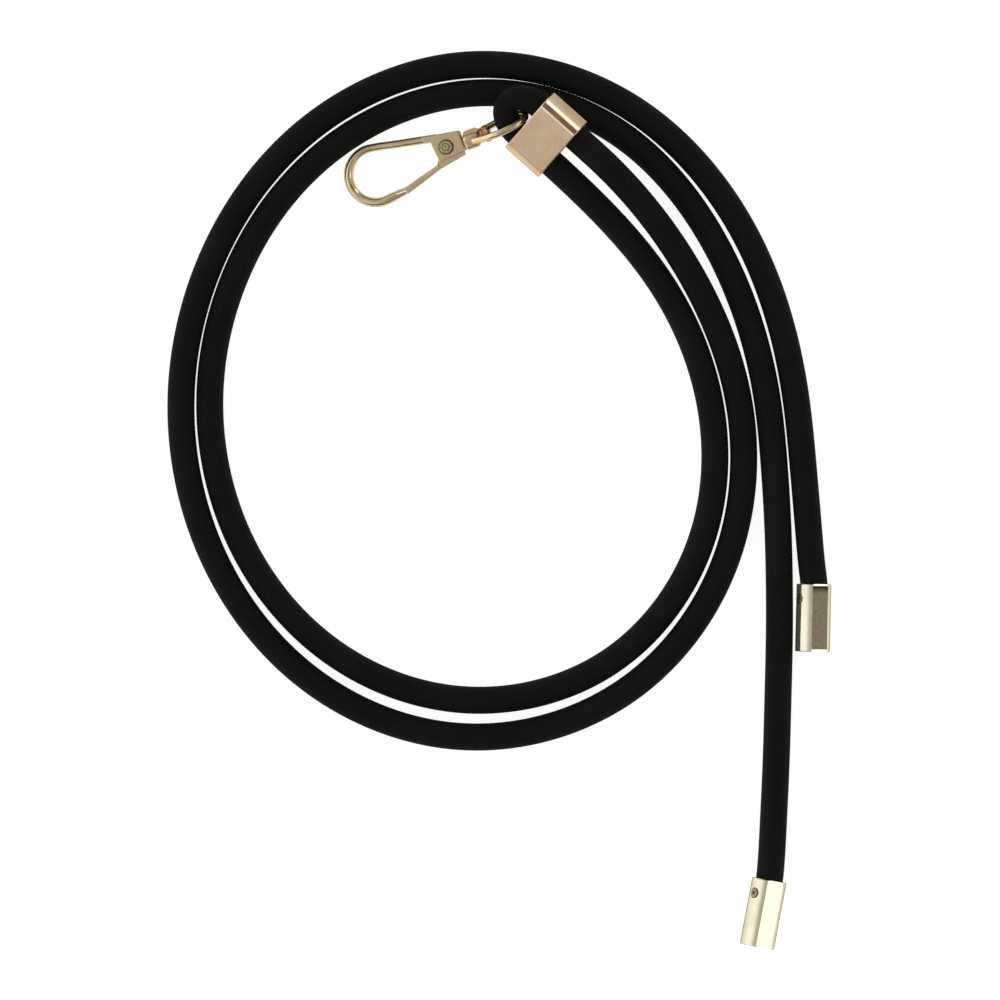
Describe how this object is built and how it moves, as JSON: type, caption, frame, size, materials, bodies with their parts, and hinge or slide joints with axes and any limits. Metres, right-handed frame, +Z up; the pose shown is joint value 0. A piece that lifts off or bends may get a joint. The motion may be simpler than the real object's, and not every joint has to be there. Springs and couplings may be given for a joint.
{
  "type": "phone crossbody strap",
  "caption": "Round black cord folded through a two-channel slider, with a swivel snap hook at the fold and a metal cap on each end.",
  "frame": {"origin": "on the surface that the strap lies on, below the middle of the box round its metal fittings and the fold of the cord", "axes": "+Z up from the surface; +Y from the end caps towards the slider and hook; +X to the right with the hook at the far left, as seen from above"},
  "size_m": [0.1939, 0.2622, 0.0195],
  "materials": {
    "gold": "polished pale gold plating",
    "screw_steel": "dark satin",
    "cord": "matt woven sheath"
  },
  "bodies": {
    "strap": {"slider": "gold", "cord_loop": "cord", "cord_outer": "cord", "cord_inner": "cord", "end_cap_outer": "gold", "end_cap_inner": "gold", "cap_screw_outer": "screw_steel", "cap_screw_inner": "screw_steel", "eye_ring": "gold"},
    "hook": {"hook": "gold", "swivel_pin": "gold", "rivet": "gold"},
    "gate": {"gate": "gold"}
  },
  "joints": [
    {"name": "hook_swivel", "type": "hinge", "parent": "strap", "child": "hook", "pos_m": [-0.03355, 0.11134, 0.00776], "axis": [-0.9262, -0.3393, -0.1645], "continuous": true},
    {"name": "gate_hinge", "type": "hinge", "parent": "hook", "child": "gate", "pos_m": [-0.04079, 0.10901, 0.00649], "axis": [0.1545, 0.0566, -0.9864], "range_deg": [0, 25], "stiffness_Nm_per_rad": 0.02}
  ]
}
